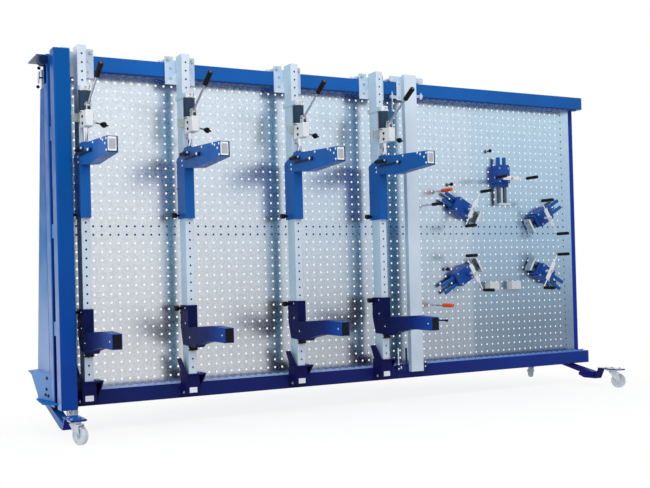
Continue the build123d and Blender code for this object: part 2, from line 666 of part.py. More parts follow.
# The four units along the rails
unit_nodes = (
    ("column", (press_tube.part, carriage.part, bracket.part, bare_plate.part)),
    ("head", (collar.part, cylinder.part, pump_block.part, ear_plate.part, block_bolts.part)),
    ("upper_arm", (upper_arm.part, ram.part, end_plate.part, upper_knob.part)),
    ("lower_arm", (lower_arm.part, end_plug.part, lower_knob.part)),
    ("pump_lever", (lever.part, lever_grip)),
    ("release_lever", (release.part, release_ball.part)),
    ("arm_lock", (lock.part, lock_grip)),
)
for number, unit_x in enumerate(UNIT_X, start=1):
    shift = Location((unit_x, 0, 0))
    for suffix, pieces in unit_nodes:
        save(f"press_{number}_{suffix}", *[piece.moved(shift) for piece in pieces])
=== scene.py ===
import json
import math
import bmesh
import bpy
from mathutils import Matrix, Vector


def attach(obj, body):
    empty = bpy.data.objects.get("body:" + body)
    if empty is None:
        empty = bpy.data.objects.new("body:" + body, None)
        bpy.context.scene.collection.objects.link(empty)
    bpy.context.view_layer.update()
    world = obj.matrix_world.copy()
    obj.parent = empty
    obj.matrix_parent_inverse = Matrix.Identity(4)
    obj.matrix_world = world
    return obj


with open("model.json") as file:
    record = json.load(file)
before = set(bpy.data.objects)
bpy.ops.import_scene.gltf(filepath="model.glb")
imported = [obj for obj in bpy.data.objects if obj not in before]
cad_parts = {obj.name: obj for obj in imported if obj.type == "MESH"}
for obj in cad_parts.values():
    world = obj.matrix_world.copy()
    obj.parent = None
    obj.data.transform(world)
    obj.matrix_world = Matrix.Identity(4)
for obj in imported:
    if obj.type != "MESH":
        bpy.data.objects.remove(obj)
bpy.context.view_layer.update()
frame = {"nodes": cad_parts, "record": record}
nodes = frame["nodes"]

# Metres. x runs along the rails, y away from the operator, z up from the floor.

LEFT, RIGHT = (-1, 0, 0), (1, 0, 0)
FORWARD, BACKWARD = (0, -1, 0), (0, 1, 0)
UP = (0, 0, 1)
BOTH_SIDES = (-1, 1)

JOINTS = {joint["name"]: joint for joint in frame["record"]["behaviour"]["joints"]}
UNITS = (1, 2, 3, 4)
UNIT_X = [JOINTS[f"pump_lever_{number}_swing"]["pos_m"][0] for number in UNITS]
PLACES = [f"{place}_{end}" for place in ("front", "rear") for end in ("left", "right")]
BOARD_Y = 0.120
STOP_X = 0.447
STOP_HALF = 0.049
TUBE_HALF = 0.025
RAM_Y = -0.132

# Frame clamps round one centre on the board: angle in degrees, crank reach, lift of the centre
CLAMP_X = 1.292
CLAMP_Z = 1.061
CLAMPS = {
    1: (0, 0.465, 0.0),
    2: (-60, 0.400, 0.040),
    3: (60, 0.400, -0.017),
    4: (-120, 0.400, -0.010),
    5: (120, 0.400, -0.010),
}


# Materials

# Sockets of a Mix node that mixes colours
MIX_FIRST, MIX_SECOND, MIX_RESULT = 6, 7, 2


class Shader:
    """A material with one Principled shader, and short calls for the nodes that feed it."""

    def __init__(self, name, colour, metallic=0.0, roughness=0.5, specular=0.5):
        self.material = bpy.data.materials.new(name)
        self.material.use_nodes = True
        self.tree = self.material.node_tree
        self.surface = self.tree.nodes["Principled BSDF"]
        self.surface.inputs["Base Color"].default_value = (*colour, 1)
        self.surface.inputs["Metallic"].default_value = metallic
        self.surface.inputs["Roughness"].default_value = roughness
        self.surface.inputs["Specular IOR Level"].default_value = specular
        self.place = self.tree.nodes.new("ShaderNodeTexCoord").outputs["Object"]

    def node(self, kind, **settings):
        made = self.tree.nodes.new(kind)
        for key, value in settings.items():
            setattr(made, key, value)
        return made

    def link(self, source, target):
        self.tree.links.new(source, target)

    def stretched(self, scale):
        """Object coordinates scaled separately along x, y and z."""
        mapping = self.node("ShaderNodeMapping")
        mapping.inputs["Scale"].default_value = scale
        self.link(self.place, mapping.inputs["Vector"])
        return mapping.outputs["Vector"]

    def along(self, axis):
        """Object coordinate along one axis."""
        parts = self.node("ShaderNodeSeparateXYZ")
        self.link(self.place, parts.inputs[0])
        return parts.outputs[axis]

    def within(self, axis, middle, half):
        """One where the coordinate on an axis is within half of the middle, else zero."""
        shifted = self.node("ShaderNodeMath", operation="SUBTRACT")
        self.link(self.along(axis), shifted.inputs[0])
        shifted.inputs[1].default_value = middle
        size = self.node("ShaderNodeMath", operation="ABSOLUTE")
        self.link(shifted.outputs[0], size.inputs[0])
        near = self.node("ShaderNodeMath", operation="LESS_THAN")
        self.link(size.outputs[0], near.inputs[0])
        near.inputs[1].default_value = half
        return near.outputs[0]

    def noise(self, scale, detail, place=None):
        made = self.node("ShaderNodeTexNoise")
        made.inputs["Scale"].default_value = scale
        made.inputs["Detail"].default_value = detail
        self.link(place or self.place, made.inputs["Vector"])
        return made.outputs["Fac"]

    def cells(self, scale):
        made = self.node("ShaderNodeTexVoronoi")
        made.inputs["Scale"].default_value = scale
        self.link(self.place, made.inputs["Vector"])
        return made

    def ramp(self, value, *stops):
        """Colours at positions along a value."""
        made = self.node("ShaderNodeValToRGB")
        elements = made.color_ramp.elements
        while len(elements) < len(stops):
            elements.new(0.5)
        for element, (position, colour) in zip(elements, stops):
            element.position = position
            element.color = (*colour, 1)
        self.link(value, made.inputs["Fac"])
        return made.outputs["Color"]

    def mixed(self, factor, first, second, blend="MIX"):
        """Two colours mixed by a factor, which may be a number."""
        made = self.node("ShaderNodeMix", data_type="RGBA", blend_type=blend)
        if isinstance(factor, float):
            made.inputs[0].default_value = factor
        else:
            self.link(factor, made.inputs[0])
        self.link(first, made.inputs[MIX_FIRST])
        self.link(second, made.inputs[MIX_SECOND])
        return made.outputs[MIX_RESULT]

    def spread(self, value, low, high, start=0.3, end=0.7):
        """A value between start and end stretched to low and high."""
        made = self.node("ShaderNodeMapRange")
        made.inputs["From Min"].default_value = start
        made.inputs["From Max"].default_value = end
        made.inputs["To Min"].default_value = low
        made.inputs["To Max"].default_value = high
        self.link(value, made.inputs["Value"])
        return made.outputs["Result"]

    def colour(self, source):
        self.link(source, self.surface.inputs["Base Color"])

    def roughness(self, source):
        self.link(source, self.surface.inputs["Roughness"])

    def bump(self, source, strength, distance):
        made = self.node("ShaderNodeBump")
        made.inputs["Strength"].default_value = strength
        made.inputs["Distance"].default_value = distance
        self.link(source, made.inputs["Height"])
        self.link(made.outputs["Normal"], self.surface.inputs["Normal"])


def tinted(colour, factor):
    return tuple(min(1.0, channel * factor) for channel in colour)


def grey(level):
    return (level, level, level)


def paint_film(shade, roughness):
    """Handling smudges and orange peel, which every paint has."""
    smudges = shade.noise(scale=9, detail=5)
    shade.roughness(shade.spread(smudges, roughness - 0.06, roughness + 0.10))
    shade.bump(shade.noise(scale=420, detail=2), strength=0.25, distance=0.00025)
    return shade.material


def paint(name, colour, roughness, specular=0.15):
    """Gloss or satin paint of one colour, faintly cloudy."""
    shade = Shader(name, colour, roughness=roughness, specular=specular)
    clouds = shade.noise(scale=2.5, detail=4)
    shade.colour(shade.ramp(clouds, (0.3, tinted(colour, 0.88)), (0.7, tinted(colour, 1.10))))
    return paint_film(shade, roughness)


def graded_paint(name, axis, span, stops, roughness, specular=0.15):
    """Paint whose colour changes along one axis, as it catches more or less light there."""
    shade = Shader(name, stops[0][1], roughness=roughness, specular=specular)
    place = shade.spread(shade.along(axis), 0.0, 1.0, *span)
    clouds = shade.ramp(shade.noise(scale=2.5, detail=4), (0.3, grey(0.88)), (0.7, grey(1.0)))
    shade.colour(shade.mixed(1.0, shade.ramp(place, *stops), clouds, "MULTIPLY"))
    return paint_film(shade, roughness)


def bare_steel(name, colour, roughness, grain=(8, 8, 500), depth=0.0002):
    """Plain or plated steel with a drawn grain and small stains."""
    shade = Shader(name, colour, metallic=1.0, roughness=roughness)
    stains = shade.noise(scale=30, detail=5)
    shade.colour(shade.ramp(stains, (0.3, tinted(colour, 0.78)), (0.7, tinted(colour, 1.10))))
    wear = shade.noise(scale=14, detail=4)
    shade.roughness(shade.spread(wear, roughness - 0.08, roughness + 0.12))
    lines = shade.noise(scale=1.0, detail=2, place=shade.stretched(grain))
    shade.bump(lines, strength=0.2, distance=depth)
    return shade.material


def plastic(name, colour, roughness, grain=900):
    """Moulded plastic with a fine grain and lighter scuffs."""
    shade = Shader(name, colour, roughness=roughness, specular=0.12)
    scuffs = shade.noise(scale=60, detail=6)
    scuffed = tuple(0.9 * channel + 0.006 for channel in colour)
    shade.colour(shade.ramp(scuffs, (0.45, colour), (0.8, scuffed)))
    wear = shade.noise(scale=25, detail=3)
    shade.roughness(shade.spread(wear, roughness - 0.08, roughness + 0.10))
    shade.bump(shade.noise(scale=grain, detail=2), strength=0.35, distance=0.0003)
    return shade.material


def galvanised(name):
    """Zinc-coated sheet with fine spangle, darker towards the lower right as painted shade and lighter
    towards the top as painted light, and a step in tone by the clamps.
    """
    shade = Shader(name, (0.47, 0.56, 0.65), metallic=1.0, roughness=0.3)
    # Painted light and shade: the sheet gets lighter with height and darker towards the right.
    height = shade.spread(shade.along("Z"), 0.0, 1.0, start=0.45, end=1.95)
    left = shade.ramp(height, (0.0, (0.63, 0.65, 0.68)), (1.0, (0.74, 0.83, 0.92)))
    right = shade.ramp(
        height, (0.0, (0.18, 0.25, 0.34)), (0.45, (0.34, 0.49, 0.64)), (1.0, (0.49, 0.66, 0.81))
    )
    left_x, step_x, right_x = -1.4, 1.037, 1.5
    across = shade.spread(shade.along("X"), 0.0, 1.0, start=left_x, end=right_x)
    step = (step_x - left_x) / (right_x - left_x)
    share = shade.ramp(
        across,
        (0.0, grey(0.0)),
        (0.48, grey(0.48)),
        (step - 0.001, grey(0.68)),
        (step, grey(0.885)),
        (1.0, grey(1.0)),
    )
    sheet = shade.mixed(share, left, right)
    spangle = shade.ramp(shade.cells(scale=85).outputs["Color"], (0.2, grey(0.88)), (0.8, grey(1.0)))
    shade.colour(shade.mixed(1.0, sheet, spangle, "MULTIPLY"))
    shade.roughness(shade.spread(shade.noise(scale=60, detail=3), 0.21, 0.29))
    shade.bump(shade.noise(scale=3.0, detail=2), strength=0.35, distance=0.004)
    return shade.material


def textured_grip(name):
    """Dark grip with a small raised diamond pattern."""
    base = (0.005, 0.005, 0.006)
    shade = Shader(name, base, roughness=0.45, specular=0.15)
    diamonds = shade.cells(scale=170).outputs["Distance"]
    shade.colour(shade.ramp(diamonds, (0.0, tinted(base, 2.2)), (0.6, base)))
    shade.bump(diamonds, strength=0.6, distance=0.0015)
    shade.roughness(shade.spread(shade.noise(scale=40, detail=3), 0.38, 0.55))
    return shade.material


def clear_plate(name):
    """Greenish translucent guard plate."""
    base = (0.62, 0.70, 0.64)
    shade = Shader(name, base, roughness=0.3)
    shade.surface.inputs["Transmission Weight"].default_value = 0.75
    haze = shade.noise(scale=35, detail=4)
    shade.colour(shade.ramp(haze, (0.35, tinted(base, 0.9)), (0.65, tinted(base, 1.1))))
    shade.bump(shade.noise(scale=300, detail=2), strength=0.15, distance=0.0003)
    return shade.material


def framed_plate(name, middle_x):
    """Bright frame round a duller bare plate, for the front end of an arm, set in a dark rim of painted
    shadow.
    """
    shade = Shader(name, (0.78, 0.80, 0.83), roughness=0.28, specular=0.3)

    def inside(offset, half_x, middle_z, half_z):
        both = shade.node("ShaderNodeMath", operation="MULTIPLY")
        shade.link(shade.within("X", middle_x + offset, half_x), both.inputs[0])
        shade.link(shade.within("Z", middle_z, half_z), both.inputs[1])
        return both.outputs[0]

    stains = shade.noise(scale=60, detail=4)
    # The dark rim round the frame is painted shadow.
    rim_shadow_colour = shade.ramp(stains, (0.3, (0.010, 0.011, 0.014)), (0.7, (0.020, 0.021, 0.024)))
    frame_colour = shade.ramp(stains, (0.3, (0.74, 0.77, 0.80)), (0.7, (0.84, 0.86, 0.88)))
    plate_colour = shade.ramp(stains, (0.3, (0.36, 0.37, 0.37)), (0.7, (0.46, 0.47, 0.47)))
    in_plate = inside(offset=-0.0015, half_x=0.0175, middle_z=1.5585, half_z=0.0270)
    in_frame = inside(offset=-0.0020, half_x=0.0225, middle_z=1.5590, half_z=0.0360)
    framed = shade.mixed(in_plate, frame_colour, plate_colour)
    shade.colour(shade.mixed(in_frame, rim_shadow_colour, framed))
    shade.roughness(shade.spread(shade.noise(scale=20, detail=3), 0.22, 0.38))
    return shade.material


BLUE = paint("blue_paint", (0.009, 0.100, 0.37), roughness=0.32, specular=0.09)
# Left column: its blue shifts with height as painted light.
COLUMN_BLUE = graded_paint(
    "column_blue_paint", axis="Z", span=(0.3, 1.5), roughness=0.30, specular=0.08,
    stops=[(0.0, (0.005, 0.052, 0.32)), (1.0, (0.001, 0.080, 0.31))],
)
# Left faces: pale low down as a painted reflection, darker higher up as painted shade.
COLUMN_SIDE_LIT_AND_SHADED = graded_paint(
    "column_side_paint", axis="Z", span=(0.3, 1.6), roughness=0.34,
    stops=[(0.0, (0.20, 0.31, 0.58)), (0.6, (0.05, 0.18, 0.46)), (1.0, (0.012, 0.09, 0.36))],
)
POST_BLUE = paint("post_blue_paint", (0.016, 0.155, 0.46), roughness=0.34)
# Front faces of the left end post: darker and more violet towards the floor, as painted shade.
POST_FRONT_SHADED = graded_paint(
    "post_front_paint", axis="Z", span=(0.4, 2.1), roughness=0.36, specular=0.04,
    stops=[(0.0, (0.014, 0.005, 0.12)), (0.5, (0.012, 0.055, 0.28)), (0.9, (0.012, 0.10, 0.38))],
)
# Left faces of the stand: pale low down as a painted reflection, deep blue higher up.
STAND_SIDE_REFLECTION = graded_paint(
    "stand_paint", axis="Z", span=(0.55, 1.5), roughness=0.38, specular=0.06,
    stops=[(0.0, (0.26, 0.39, 0.66)), (0.5, (0.02, 0.17, 0.47)), (1.0, (0.004, 0.095, 0.38))],
)
# Bottom rail: much darker than the top rail, most of all to the left, as painted shade.
LOW_RAIL = graded_paint(
    "low_rail_paint", axis="X", span=(-1.9, 2.0), roughness=0.34, specular=0.05,
    stops=[(0.0, (0.010, 0.018, 0.115)), (0.6, (0.012, 0.018, 0.135)), (1.0, (0.016, 0.045, 0.29))],
)
# Lower arms: blue darkening towards the board, as painted shade.
LOWER_ARM_SHADED_BLUE = graded_paint(
    "lower_arm_paint", axis="Y", span=(-0.62, -0.15), roughness=0.34, specular=0.04,
    stops=[(0.0, (0.008, 0.055, 0.31)), (0.4, (0.007, 0.020, 0.135)), (1.0, (0.005, 0.009, 0.068))],
)
# Right end post: its blue shifts with height as painted light.
END_BLUE = graded_paint(
    "end_post_paint", axis="Z", span=(0.4, 1.9), roughness=0.34, specular=0.06,
    stops=[(0.0, (0.012, 0.028, 0.34)), (1.0, (0.011, 0.050, 0.34))],
)
CLAMP_BLUE = paint("clamp_blue_paint", (0.012, 0.068, 0.32), roughness=0.32)
# Dark violet blue of the right foot, also used as painted shade on the turned-away faces of the left leg.
FOOT_BLUE = paint("foot_violet_blue_paint", (0.012, 0.013, 0.17), roughness=0.36, specular=0.05)
# Bottom brackets of the press columns: blue darkened almost to black as painted shade.
BRACKET_SHADED_BLUE = paint("bracket_dark_blue_paint", (0.008, 0.009, 0.075), roughness=0.36, specular=0.05)
# Top faces of those brackets: lighter, as painted light.
BRACKET_TOP = paint("bracket_top_paint", (0.010, 0.050, 0.24), roughness=0.40, specular=0.05)
NAVY = paint("navy_paint", (0.006, 0.022, 0.075), roughness=0.40, specular=0.05)
ROOF_GREY = paint("roof_underside_paint", (0.27, 0.28, 0.33), roughness=0.45, specular=0.05)
# Outer face of the flared bracket: pale blue as a painted reflection.
FLARE_REFLECTION = paint("flared_bracket_paint", (0.13, 0.27, 0.58), roughness=0.40)
PLATE_BLUE = paint("bracket_floor_paint", (0.012, 0.15, 0.50), roughness=0.5, specular=0.02)
# Foot of the stop post: blue darkened as painted shade.
STOP_FOOT_SHADED_BLUE = paint("deep_blue_paint", (0.009, 0.020, 0.130), roughness=0.34)
# Comb strip on the bottom rail, and the rail's top faces: pale as a painted sheen, paler to the left.
COMB_SHEEN = graded_paint(
    "pale_comb_strip_paint", axis="X", span=(-0.5, 2.0), roughness=0.40,
    stops=[(0.0, (0.34, 0.45, 0.72)), (1.0, (0.10, 0.24, 0.64))],
)
# Comb strip under the top rail: dark as painted shade.
COMB_SHADE = paint("dark_comb_strip_paint", (0.030, 0.055, 0.17), roughness=0.40)
LIGHT = paint("light_grey_paint", (0.58, 0.66, 0.75), roughness=0.40)
CARRIAGE = paint("carriage_grey_paint", (0.46, 0.58, 0.71), roughness=0.40)
# Left faces of the light grey posts and collars: a darker, bluer grey as painted shade.
LIGHT_SIDE_SHADE = paint("light_grey_side_paint", (0.46, 0.61, 0.72), roughness=0.40)
# Back faces of the light grey posts: teal, so that the board shows a painted reflection band beside each
# post.
POST_BACK_REFLECTION = paint("light_post_back_paint", (0.08, 0.50, 0.80), roughness=0.40)
SHADED_SIDE = graded_paint(
    "shaded_column_side_paint", axis="Z", span=(1.80, 1.98), roughness=0.40,
    stops=[(0.0, (0.12, 0.19, 0.32)), (1.0, (0.85, 0.90, 0.97))],
)
# Arm screws: a light paint in place of metal, standing in for their glint as a painted highlight.
SCREW = paint("bright_screw_finish", (0.78, 0.84, 0.92), roughness=0.30, specular=0.4)
SLATE = paint("slate_paint", (0.018, 0.038, 0.068), roughness=0.36)
BLOCK = paint("pump_block_paint", (0.70, 0.72, 0.73), roughness=0.38)
WHITE_PLATE = paint("bare_white_plate", (0.74, 0.76, 0.78), roughness=0.4)
DARK_STEEL = paint("dark_lever_paint", (0.014, 0.016, 0.022), roughness=0.40)
ZINC = bare_steel("zinc_plated_steel", (0.58, 0.62, 0.67), roughness=0.30)
SILVER = bare_steel("silver_collar_steel", (0.78, 0.80, 0.83), roughness=0.22)
SATIN_ROD = bare_steel(
    "satin_lever_rod", (0.66, 0.66, 0.68), roughness=0.30, grain=(200, 200, 20), depth=0.00005
)
CHROME = bare_steel("chrome_rod", (0.80, 0.81, 0.83), roughness=0.10, grain=(300, 300, 20), depth=0.00005)
RACK = bare_steel("blackened_rack_steel", (0.11, 0.13, 0.16), roughness=0.40)
BOARD = galvanised("galvanised_sheet")
BLACK = plastic("black_plastic", (0.004, 0.004, 0.005), roughness=0.42)
GRIP = textured_grip("textured_black_grip")
ORANGE = plastic("orange_plastic", (0.80, 0.09, 0.015), roughness=0.38)
NYLON = plastic("grey_white_nylon", (0.60, 0.64, 0.68), roughness=0.40, grain=500)
GREY_CAP = plastic("grey_grip_cap", (0.09, 0.09, 0.10), roughness=0.42)
REST = plastic("pale_grey_rest", (0.62, 0.64, 0.64), roughness=0.45)
CLEAR = clear_plate("clear_guard_plate")


# Painting the CAD nodes, solid by solid and face by face

SAME_POINT_DIGITS = 5
WELD = 0.00002
EDGE_SEGMENTS = 2
EDGE_ANGLE = math.radians(40)
FRAME_EDGE = 0.0012
PRESS_EDGE = 0.0010
CLAMP_EDGE = 0.0008


def solids_of(mesh):
    """Polygon indices of each separate solid in a node's mesh."""
    corner_of = {}
    parent = []

    def find(item):
        while parent[item] != item:
            parent[item] = parent[parent[item]]
            item = parent[item]
        return item

    place = []
    for vertex in mesh.vertices:
        key = tuple(round(value, SAME_POINT_DIGITS) for value in vertex.co)
        if key not in corner_of:
            corner_of[key] = len(parent)
            parent.append(len(parent))
        place.append(corner_of[key])
    for polygon in mesh.polygons:
        first = find(place[polygon.vertices[0]])
        for index in polygon.vertices[1:]:
            parent[find(place[index])] = first
    groups = {}
    for polygon in mesh.polygons:
        groups.setdefault(find(place[polygon.vertices[0]]), []).append(polygon.index)
    return list(groups.values())


def limits(mesh, polygons):
    """Lowest and highest corner of some polygons."""
    points = [mesh.vertices[index].co for polygon in polygons for index in mesh.polygons[polygon].vertices]
    low = Vector([min(point[axis] for point in points) for axis in range(3)])
    high = Vector([max(point[axis] for point in points) for axis in range(3)])
    return low, high


def slot_for(mesh, material):
    """Index of a material in a mesh, added where it is missing."""
    for index, present in enumerate(mesh.materials):
        if present == material:
            return index
    mesh.materials.append(material)
    return len(mesh.materials) - 1


def dress(name, main, choose=None):
    """Material for a node; choose(extent, top) may give a solid another one."""
    mesh = nodes[name].data
    mesh.materials.clear()
    mesh.materials.append(main)
    for polygon in mesh.polygons:
        polygon.material_index = 0
    if choose is None:
        return
    for polygons in solids_of(mesh):
        low, high = limits(mesh, polygons)
        index = slot_for(mesh, choose(high - low, high.z) or main)
        for polygon in polygons:
            mesh.polygons[polygon].material_index = index


def touch_up(name, choose):
    """Another material for single faces, where choose(centre, normal) gives one."""
    mesh = nodes[name].data
    for polygon in mesh.polygons:
        material = choose(polygon.center, polygon.normal)
        if material is not None:
            polygon.material_index = slot_for(mesh, material)


def soften(name, width):
    """Small rounded edges on a node, so that they catch the light."""
    weld = nodes[name].modifiers.new("weld", "WELD")
    weld.merge_threshold = WELD
    bevel = nodes[name].modifiers.new("edges", "BEVEL")
    bevel.width = width
    bevel.segments = EDGE_SEGMENTS
    bevel.limit_method = "ANGLE"
    bevel.angle_limit = EDGE_ANGLE
    bevel.harden_normals = True


# Extents that part the solids of a node: each lies between the sizes of the two kinds
COMB_OR_RAIL_HEIGHT = 0.020
PAD_OR_FOOT_DEPTH = 0.110
PLATE_OR_BRACKET_WIDTH = 0.060
ARM_DEPTH = 0.500
RAM_HEIGHT = 0.120
KNOB_DEPTH = 0.020
LEVER_GRIP_WIDTH = 0.025
RELEASE_BALL_DEPTH = 0.030
LOCK_GRIP_DEPTH = 0.150
CRANK_GRIP_WIDTH = 0.030
SPINDLE_WIDTH = 0.020
REST_WIDTH = 0.050
PIN_GRIP_DEPTH = 0.105
ORANGE_GRIP_WIDTH = 0.025
BLACK_GRIP_WIDTH = 0.022
PIN_BALL_WIDTH = 0.018
LOCK_BALL_HEIGHT = 0.030

# Heights that part the solids of a node by their tops
UPPER_RAIL_Z = 1.0
COLUMN_TOP_Z = 2.0
STOP_FOOT_Z = 0.5


def comb_or_rail(extent, top):
    if extent.z > COMB_OR_RAIL_HEIGHT:
        return None
    return COMB_SHADE if top > UPPER_RAIL_Z else COMB_SHEEN


def pad_or_foot(extent, top):
    return ZINC if extent.y < PAD_OR_FOOT_DEPTH else None


# Bottom brackets take the blue darkened as painted shade.
def column_piece(extent, top):
    if top > COLUMN_TOP_Z:
        return LIGHT
    return WHITE_PLATE if extent.x < PLATE_OR_BRACKET_WIDTH else BRACKET_SHADED_BLUE


def upper_arm_piece(end_plate):
    """Chooser for the arm, its ram, knob and end plate."""
    def choose(extent, top):
        if extent.y > ARM_DEPTH:
            return BLUE
        if extent.z > RAM_HEIGHT:
            return CHROME
        return BLACK if extent.y > KNOB_DEPTH else end_plate
    return choose


def lower_arm_piece(extent, top):
    return LOWER_ARM_SHADED_BLUE if extent.y > ARM_DEPTH else BLACK


def pump_lever_piece(extent, top):
    return GRIP if extent.x > LEVER_GRIP_WIDTH else SATIN_ROD


def release_piece(extent, top):
    return BLACK if extent.y > RELEASE_BALL_DEPTH else RACK


def arm_lock_piece(extent, top):
    return GRIP if extent.y < LOCK_GRIP_DEPTH else DARK_STEEL


def crank_piece(extent, top):
    return GRIP if max(extent.x, extent.z) < CRANK_GRIP_WIDTH else WHITE_PLATE


# The stop post's foot takes the blue darkened as painted shade.
def stop_piece(extent, top):
    if extent.x < SPINDLE_WIDTH:
        return CHROME
    return STOP_FOOT_SHADED_BLUE if top < STOP_FOOT_Z else LIGHT


def peg_piece(extent, top):
    if extent.x > REST_WIDTH:
        return REST
    if extent.y > PIN_GRIP_DEPTH and extent.x > ORANGE_GRIP_WIDTH:
        return ORANGE
    if extent.y > PIN_GRIP_DEPTH and extent.x > BLACK_GRIP_WIDTH:
        return GRIP
    return BLACK if extent.x > PIN_BALL_WIDTH else ZINC


def lock_lever_piece(extent, top):
    return BLACK if extent.z < LOCK_BALL_HEIGHT else CHROME


# Least part of a face's normal along an axis, for a face that looks that way
STEEP = 0.6
FACING = 0.7
SQUARE = 0.9

# Places that part the faces of the frame
LOW_RAIL_TOP = 0.22
DISC_X = -1.9595
DISC_Z = (2.07, 2.1270)
DISC_FRONT = 0.04
ROOF_Z = (2.1270, 2.1290)
FLARE_X = -1.9585
FLARE_TOP = 0.4
FLARE_FLOOR = 0.1875
STAND_FRONT = 0.161
STRAP_END = (0.2585, 0.274)
STRAP_END_TOP = 0.07
CASTER_PLATE_LOW = 0.13
CASTER_PLATE_BACK = -0.2
SIDE_BOLT_X = -1.95
SIDE_BOLT_Z = (0.2, 0.35)

# Places that part the faces of posts, arms, heads and jaws; x is measured from the middle of a unit
SIDE_NEAR = 0.002
BRACKET_TOP_Z = (0.295, 0.305)
CARRIAGE_LOW = 1.97
CARRIAGE_INNER = 0.03
POST_BACK_Y = (0.0, 0.0135)
CATCH_TOP = 0.4665
CATCH_Y = (-0.1085, -0.0940)
COLLAR_LOW = 1.9255
COLLAR_SIDE = 0.024
COLLAR_BUSH_R = 0.0305
CYLINDER_LOW = 1.8030
CYLINDER_OUT_R = 0.0345
EAR_LOW = 1.8035
BLOCK_SIDE = 0.0221
GUARD_FRONT = -0.13
JAW_END = 0.2915
RACK_TAIL = 0.5072


def between(value, ends):
    return ends[0] < value < ends[1]


# Top faces of the bottom rail take the pale comb paint as painted light.
def rail_top_face(centre, normal):
    return COMB_SHEEN if normal.z > FACING and centre.z > LOW_RAIL_TOP else None


# Left faces of the left column take painted light and shade.
def column_side_face(centre, normal):
    return COLUMN_SIDE_LIT_AND_SHADED if normal.x < -SQUARE else None


def left_end_face(centre, normal):
    """Outer faces of the stand, the post, the flared bracket and the disc under the roof plate; left and
    front faces get painted light and shade, the flared bracket a painted reflection.
    """
    if centre.x < DISC_X and between(centre.z, DISC_Z):
        return NAVY if centre.y < DISC_FRONT else None
    if centre.x < DISC_X and between(centre.z, ROOF_Z):
        return ROOF_GREY
    if centre.x < FLARE_X and centre.z < FLARE_TOP:
        return PLATE_BLUE if centre.z < FLARE_FLOOR else FLARE_REFLECTION
    if normal.x < -SQUARE:
        return STAND_SIDE_REFLECTION if centre.y > STAND_FRONT else COLUMN_SIDE_LIT_AND_SHADED
    return POST_FRONT_SHADED if normal.y < -SQUARE and centre.y < STAND_FRONT else None


def strap_face(centre, normal):
    """Bare end of the left strap, painted shade on the turned-away faces of its leg, bare top of the right
    caster plate.
    """
    if centre.x < 0:
        if between(BOARD_Y - centre.y, STRAP_END) and centre.z < STRAP_END_TOP:
            return ZINC
        return FOOT_BLUE if centre.y < 0 and (normal.y < -STEEP or normal.x > STEEP) else None
    on_plate = centre.z > CASTER_PLATE_LOW and centre.y < CASTER_PLATE_BACK
    return ZINC if normal.z > SQUARE and on_plate else None


def side_bolt_face(centre, normal):
    return BLACK if centre.x < SIDE_BOLT_X and between(centre.z, SIDE_BOLT_Z) else None


def post_face(left, side=LIGHT_SIDE_SHADE):
    """Chooser for a light post's left face in painted shade, its back in the teal that the board mirrors
    as a painted reflection, the carriage, and the bracket top in painted light.
    """
    def choose(centre, normal):
        if normal.x < -FACING and abs(centre.x - left) < SIDE_NEAR:
            return side
        if normal.z > SQUARE and between(centre.z, BRACKET_TOP_Z):
            return BRACKET_TOP
        beside_post = abs(centre.x - left - TUBE_HALF) > CARRIAGE_INNER
        if centre.z > CARRIAGE_LOW and normal.y < -FACING and beside_post:
            return CARRIAGE
        return POST_BACK_REFLECTION if normal.y > FACING and between(centre.y, POST_BACK_Y) else None
    return choose


def catch_face(centre, normal):
    return BLACK if centre.z < CATCH_TOP and between(centre.y, CATCH_Y) else None


def head_face(unit_x):
    """Chooser for the collar, with painted shade on its left faces, cylinder, pump block, guard plate and
    bolts of one pump head.
    """
    def choose(centre, normal):
        x = centre.x - unit_x
        out = Vector((x, centre.y - RAM_Y)).length
        if centre.z > COLLAR_LOW:
            if normal.x < -FACING and x < -COLLAR_SIDE:
                return LIGHT_SIDE_SHADE
            return SILVER if out < COLLAR_BUSH_R else LIGHT
        if centre.z > CYLINDER_LOW and out < CYLINDER_OUT_R:
            return SLATE
        if x < -BLOCK_SIDE:
            return CLEAR if centre.y > GUARD_FRONT else BLACK
        return ZINC if centre.z > EAR_LOW or x > BLOCK_SIDE else None
    return choose


def clamp_lines(number):
    """Centre of a clamp's circle, the direction from it out to the clamp, and the middle of the crank."""
    degrees, reach, lift = CLAMPS[number]
    turn = math.radians(degrees)
    middle = Vector((CLAMP_X, 0, CLAMP_Z + lift))
    outward = Vector((math.sin(turn), 0, math.cos(turn)))
    return middle, outward, middle + outward * reach


def jaw_face(number):
    """Chooser for the jaw plate, the racks and their painted tails."""
    middle, outward, _ = clamp_lines(number)

    def choose(centre, normal):
        reach = (centre - middle).dot(outward)
        if reach < JAW_END:
            return ZINC
        return BLUE if reach > RACK_TAIL else None
    return choose


dress("peg_boards", BOARD)
dress("top_rail", BLUE, comb_or_rail)
dress("bottom_rail", LOW_RAIL, comb_or_rail)
touch_up("bottom_rail", rail_top_face)
dress("left_column", COLUMN_BLUE)
touch_up("left_column", column_side_face)
dress("left_end_posts", POST_BLUE)
touch_up("left_end_posts", left_end_face)
dress("right_end_post", END_BLUE)
dress("back_tube", BLUE)
dress("clamp_housings", CLAMP_BLUE)
for name, foot_paint in (("left_foot", BLUE), ("right_foot", FOOT_BLUE)):
    dress(name, foot_paint, pad_or_foot)
    touch_up(name, strap_face)
dress("frame_bolts", ZINC)
touch_up("frame_bolts", side_bolt_face)
dress("board_pegs", ZINC, peg_piece)
dress("stop_post", LIGHT, stop_piece)
touch_up("stop_post", post_face(STOP_X - STOP_HALF))
dress("left_lock_lever", CHROME, lock_lever_piece)
for place in PLACES:
    dress(f"caster_fork_{place}", ZINC)
    dress(f"caster_wheel_{place}", NYLON)
